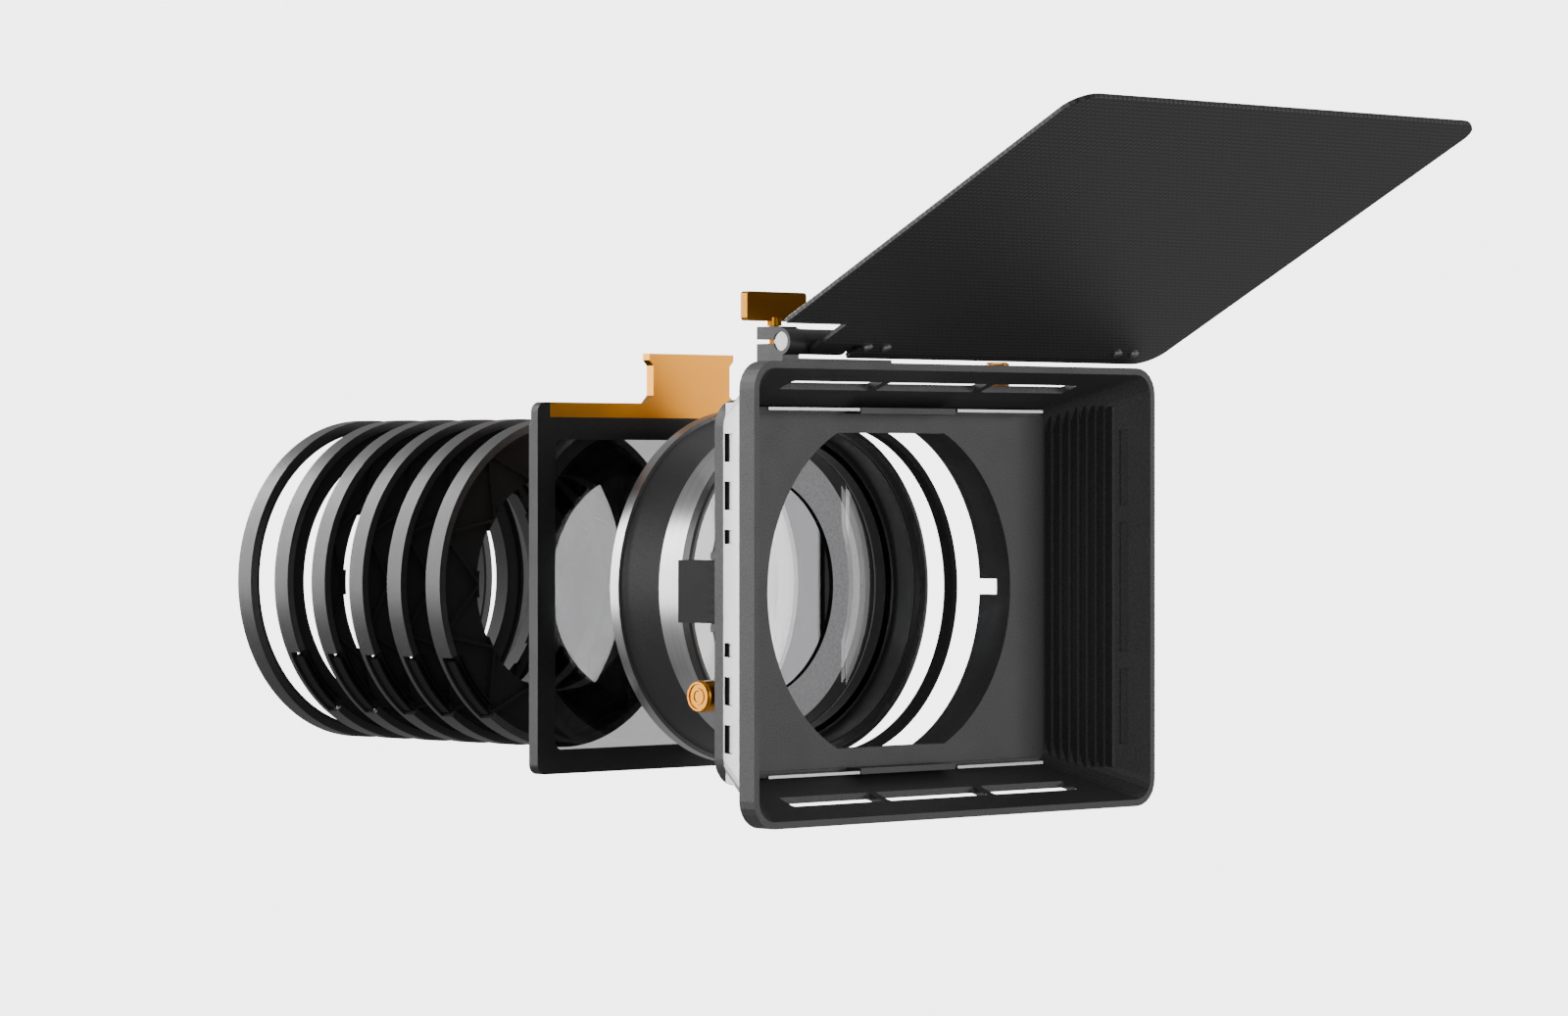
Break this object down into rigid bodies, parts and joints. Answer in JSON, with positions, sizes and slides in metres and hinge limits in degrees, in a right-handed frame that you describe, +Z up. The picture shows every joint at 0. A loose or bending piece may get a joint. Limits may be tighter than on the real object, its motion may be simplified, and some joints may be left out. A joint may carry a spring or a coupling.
{
  "type": "matte box",
  "caption": "Matte box taken apart along its optical axis: hood with a tilting carbon top flag, aperture plate and collar, spacer ring, turning filter, filter tray and six lens adapter rings.",
  "frame": {"origin": "on the optical axis, at the front face of the aperture plate", "axes": "+Y back along the optical axis towards the lens, +Z up, +X to the right seen from in front"},
  "size_m": [0.1698, 0.3904, 0.199],
  "materials": {
    "hood_black": "glass-filled plastic, matte black with a fine grain",
    "part_black": "satin black anodised coating",
    "carbon": "woven carbon sheet, satin",
    "gold": "gold anodised, finely brushed",
    "silver": "bright turned aluminium",
    "filter_black": "satin black anodised coating on turned metal",
    "glass": "grey neutral glass",
    "tray_glass": "grey neutral glass",
    "rubber": "black rubber"
  },
  "bodies": {
    "root": {"hood_shell": "hood_black", "aperture_plate": "hood_black", "baffle_strips": "hood_black", "lens_collar": "part_black", "latch_pin": "silver", "hinge_bracket": "part_black", "hinge_rod": "silver", "rod_clip": "silver", "spacer_ring": "rubber", "filter_body": "filter_black", "filter_flange": "silver", "rear_glass": "glass", "tray_frame": "part_black", "tray_glass": "tray_glass", "tray_cover": "part_black", "tray_handle": "gold", "adapter_67": "part_black", "adapter_72": "part_black", "adapter_77": "part_black", "adapter_82": "part_black", "adapter_86": "part_black", "adapter_95": "part_black"},
    "flag": {"top_flag": "carbon", "flag_leaf": "part_black", "flag_plate": "part_black"},
    "lever": {"flag_lever": "gold"},
    "side_latch": {"latch": "part_black"},
    "knob": {"pull_knob": "gold"},
    "thumb_screw": {"top_screw": "gold"},
    "filter_front": {"filter_rim": "filter_black", "filter_grip": "silver", "front_glass": "glass"}
  },
  "joints": [
    {"name": "flag_tilt", "type": "hinge", "parent": "root", "child": "flag", "pos_m": [-0.0525, -0.0215, 0.071], "axis": [-1, 0, 0], "range_deg": [-20, 55]},
    {"name": "lever_turn", "type": "hinge", "parent": "root", "child": "lever", "pos_m": [-0.06375, -0.0155, 0.0785], "axis": [0, 0, 1], "range_deg": [-40, 40]},
    {"name": "latch_rock", "type": "hinge", "parent": "root", "child": "side_latch", "pos_m": [-0.058, 0.0106, 0], "axis": [0, 0, 1], "range_deg": [0, 12]},
    {"name": "knob_pull", "type": "slide", "parent": "root", "child": "knob", "axis": [-1, 0, 0], "range_m": [0, 0.0035], "stiffness_N_per_m": 300, "springref_m": -0.002},
    {"name": "screw_turn", "type": "hinge", "parent": "root", "child": "thumb_screw", "pos_m": [0.054, 0.0082, 0.06], "axis": [0, 0, 1], "continuous": true},
    {"name": "filter_turn", "type": "hinge", "parent": "root", "child": "filter_front", "pos_m": [0, 0.0445, 0], "axis": [0, 1, 0], "range_deg": [-50, 50]}
  ]
}
